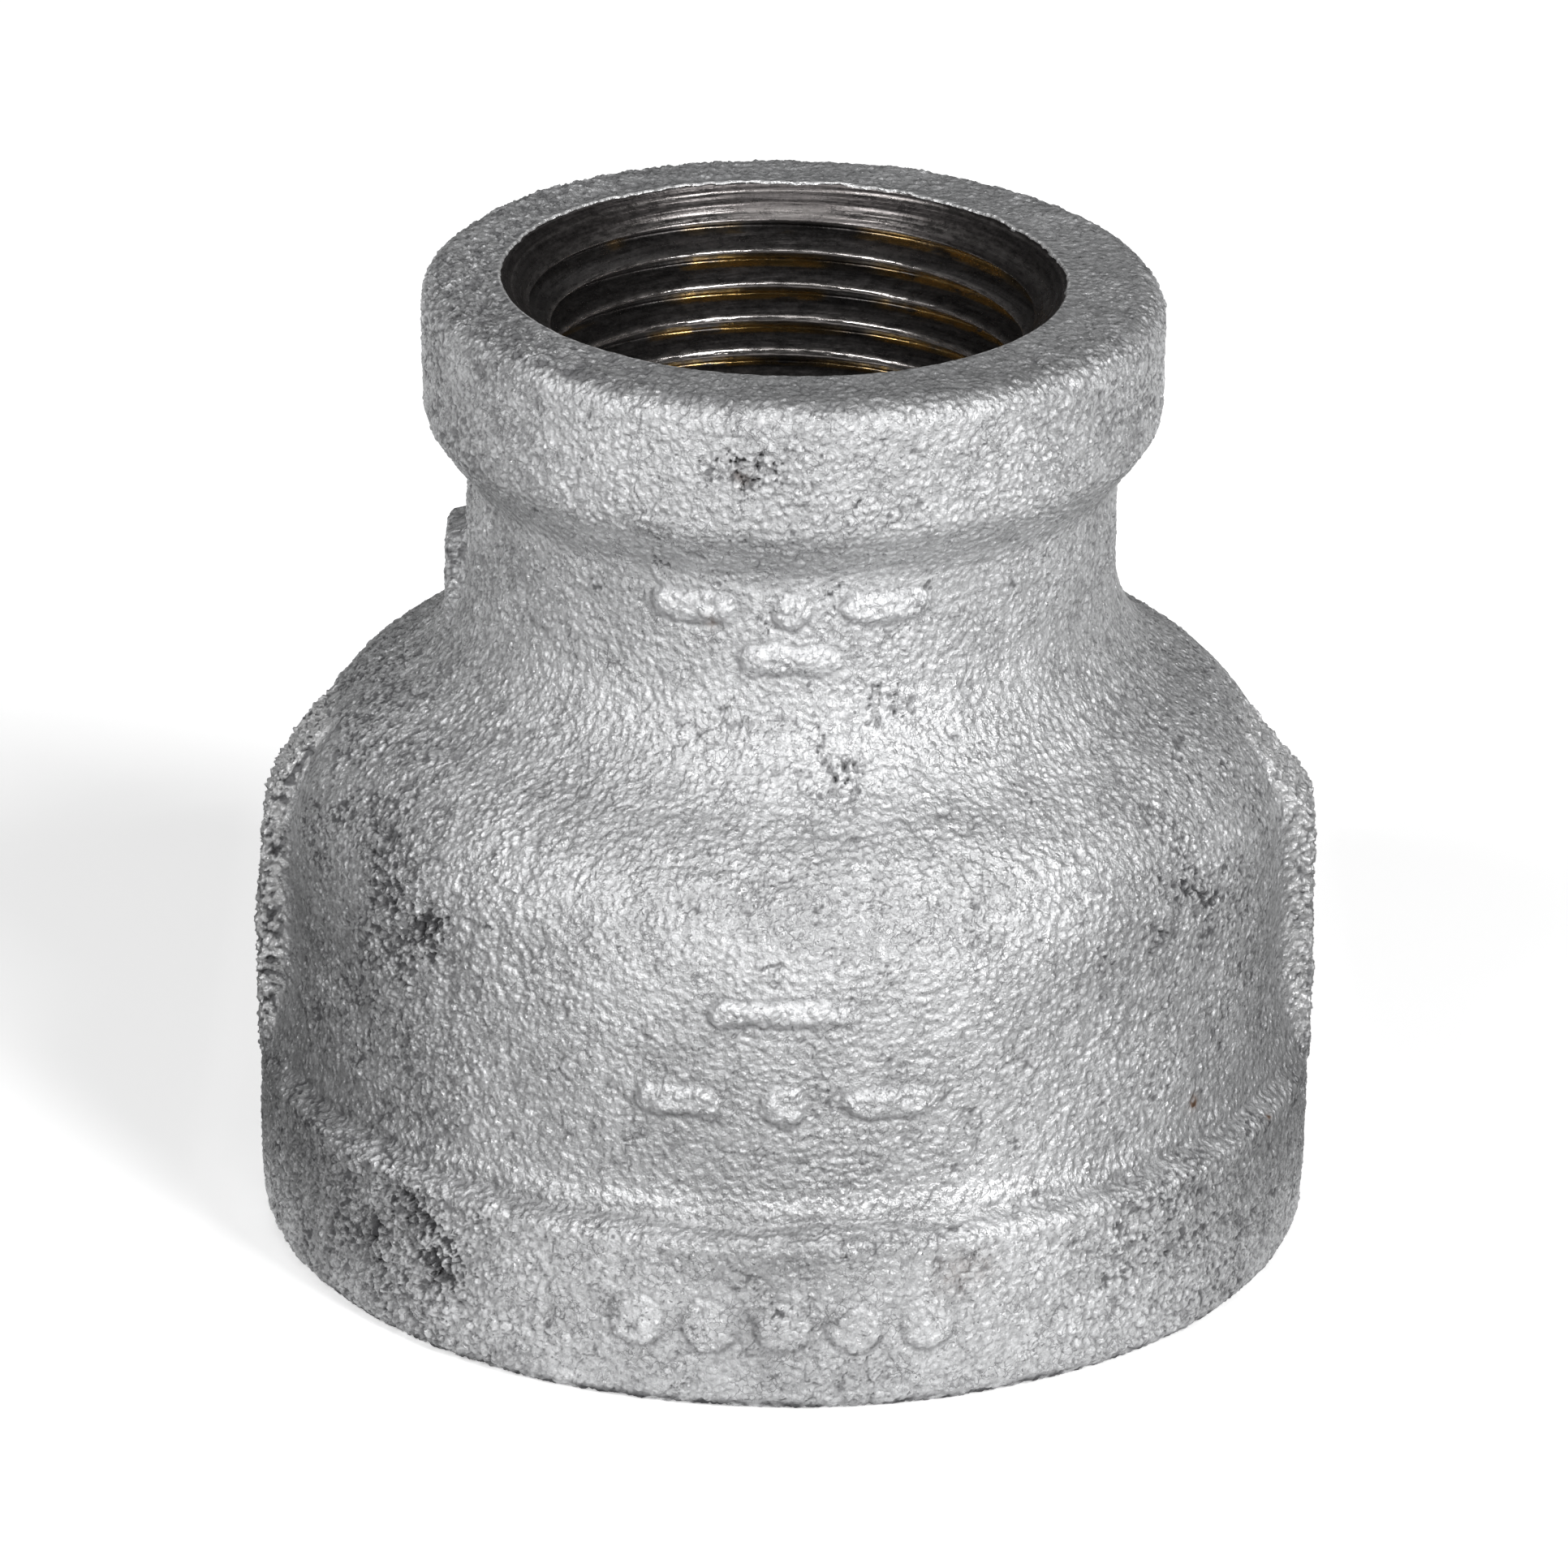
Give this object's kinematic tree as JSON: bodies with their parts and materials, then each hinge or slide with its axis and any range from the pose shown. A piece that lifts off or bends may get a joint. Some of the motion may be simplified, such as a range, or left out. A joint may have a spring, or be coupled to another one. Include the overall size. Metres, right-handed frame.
{
  "type": "reducing socket",
  "caption": "Galvanised cast-iron concentric reducer with a band at each end, wrench ribs on the bell, and a tapped female taper pipe thread at each end.",
  "frame": {"origin": "centre of the large end's face, on the axis, which is the middle of the box's underside to within 0.2 mm", "axes": "+Z along the axis from the large end to the small end; the wrench ribs are on +X and -X"},
  "size_m": [0.0535, 0.0536, 0.0496],
  "materials": {
    "bare_iron": "machined, thin oil film",
    "zinc": "hot-dip galvanised, rough cast grain"
  },
  "bodies": {
    "root": {"iron_casting": "bare_iron", "zinc_coating_outside": "zinc", "zinc_coating_inside": "zinc"}
  },
  "joints": []
}
